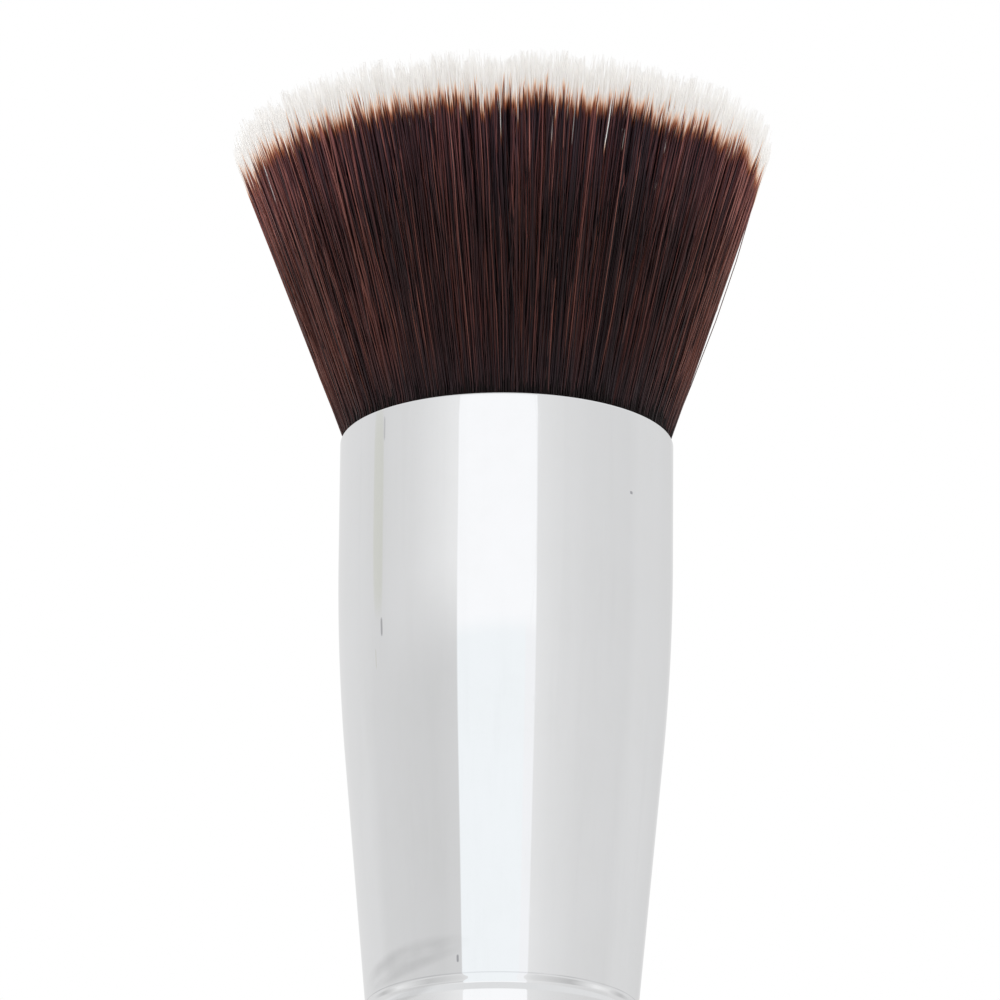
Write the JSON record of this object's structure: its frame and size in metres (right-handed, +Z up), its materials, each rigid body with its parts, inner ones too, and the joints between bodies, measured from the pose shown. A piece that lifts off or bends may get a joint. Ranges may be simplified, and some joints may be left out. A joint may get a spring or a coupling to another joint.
{
  "type": "kabuki makeup brush",
  "caption": "Flat-top kabuki makeup brush with flared dip-dyed bristles in a tapered polished ferrule, standing on a short weighted handle.",
  "frame": {"origin": "middle of the flat foot of the handle, on the surface that the brush stands on", "axes": "+Z runs up the brush's own axis, from the foot to the bristle tips; the brush is round about it, so X and Y are alike"},
  "size_m": [0.0392, 0.0392, 0.1166],
  "materials": {
    "bristle_fibre": "fine synthetic filaments, dark brown with translucent white tips",
    "thread": "wound thread",
    "glue": "set glue",
    "ferrule_metal": "mirror-polished metal",
    "handle_lacquer": "black gloss lacquer on turned wood",
    "weight_steel": "turned steel",
    "cap_plastic": "matt black"
  },
  "bodies": {
    "root": {"bristles": "bristle_fibre", "root_thread": "thread", "glue_plug": "glue", "ferrule": "ferrule_metal", "tenon_adhesive": "glue", "handle": "handle_lacquer", "base_weight": "weight_steel", "base_cap": "cap_plastic"}
  },
  "joints": []
}
